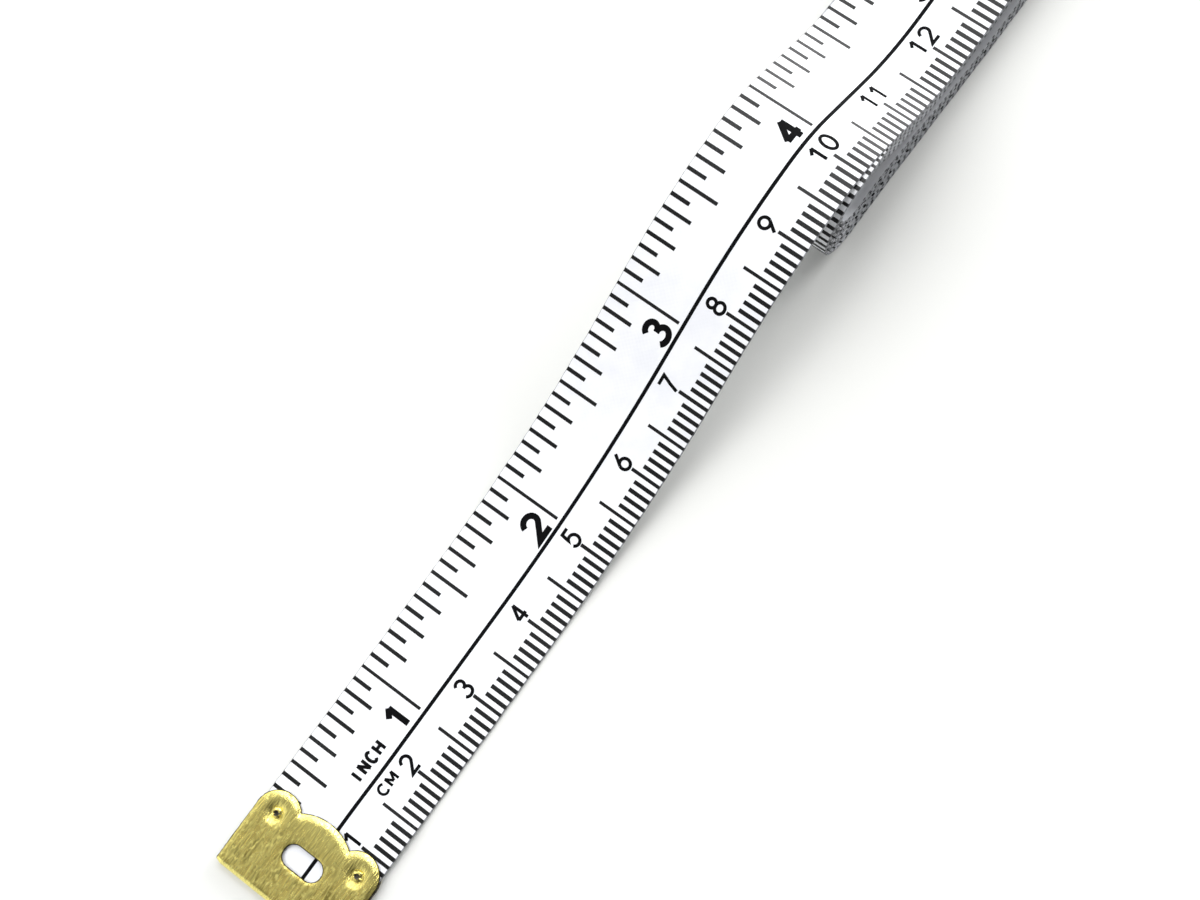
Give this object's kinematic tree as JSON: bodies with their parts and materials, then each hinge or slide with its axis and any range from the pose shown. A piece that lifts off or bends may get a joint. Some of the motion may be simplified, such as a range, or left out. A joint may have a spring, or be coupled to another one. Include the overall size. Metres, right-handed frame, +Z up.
{
  "type": "cloth tape measure",
  "caption": "Flexible coated-cloth sewing tape with printed inch and centimetre scales and folded brass tips, partly drawn off a flattened roll.",
  "frame": {"origin": "on the table, under the middle of the whole length from the free tip to the roll's far end, and in the middle of the tape's width", "axes": "+X along the tape from the free tip to the roll, +Y across it towards the inch edge, +Z up from the table"},
  "size_m": [0.1962, 0.0164, 0.014],
  "materials": {
    "tape": "white coated cloth, satin, with black print",
    "brass": "satin, lightly pitted and scratched"
  },
  "bodies": {
    "roll": {"tape_core": "tape", "tape_outer_turn": "tape", "tip_rear": "brass"},
    "section_1": {"tape_section_1": "tape"},
    "section_2": {"tape_section_2": "tape"},
    "section_3": {"tape_section_3": "tape"},
    "section_4": {"tape_section_4": "tape"},
    "free_end": {"tape_section_5": "tape", "tip_front": "brass"}
  },
  "joints": [
    {"name": "tape_lift", "type": "hinge", "parent": "roll", "child": "section_1", "pos_m": [-0.00753, 0, 0.01352], "axis": [0, 1, 0], "range_deg": [0, 55]},
    {"name": "tape_curl_1", "type": "hinge", "parent": "section_1", "child": "section_2", "pos_m": [-0.02461, 0, 0.00814], "axis": [0, 1, 0], "range_deg": [0, 35]},
    {"name": "tape_curl_2", "type": "hinge", "parent": "section_2", "child": "section_3", "pos_m": [-0.04154, 0, 0.00214], "axis": [0, 1, 0], "range_deg": [0, 35]},
    {"name": "tape_curl_3", "type": "hinge", "parent": "section_3", "child": "section_4", "pos_m": [-0.0594, 0, 0.0002], "axis": [0, 1, 0], "range_deg": [0, 35]},
    {"name": "tape_curl_4", "type": "hinge", "parent": "section_4", "child": "free_end", "pos_m": [-0.0774, 0, 0.0002], "axis": [0, 1, 0], "range_deg": [0, 35]}
  ],
  "couplings": [
    {"joint": "tape_curl_2", "follows": "tape_curl_1", "ratio": 1},
    {"joint": "tape_curl_3", "follows": "tape_curl_1", "ratio": 1},
    {"joint": "tape_curl_4", "follows": "tape_curl_1", "ratio": 1}
  ]
}
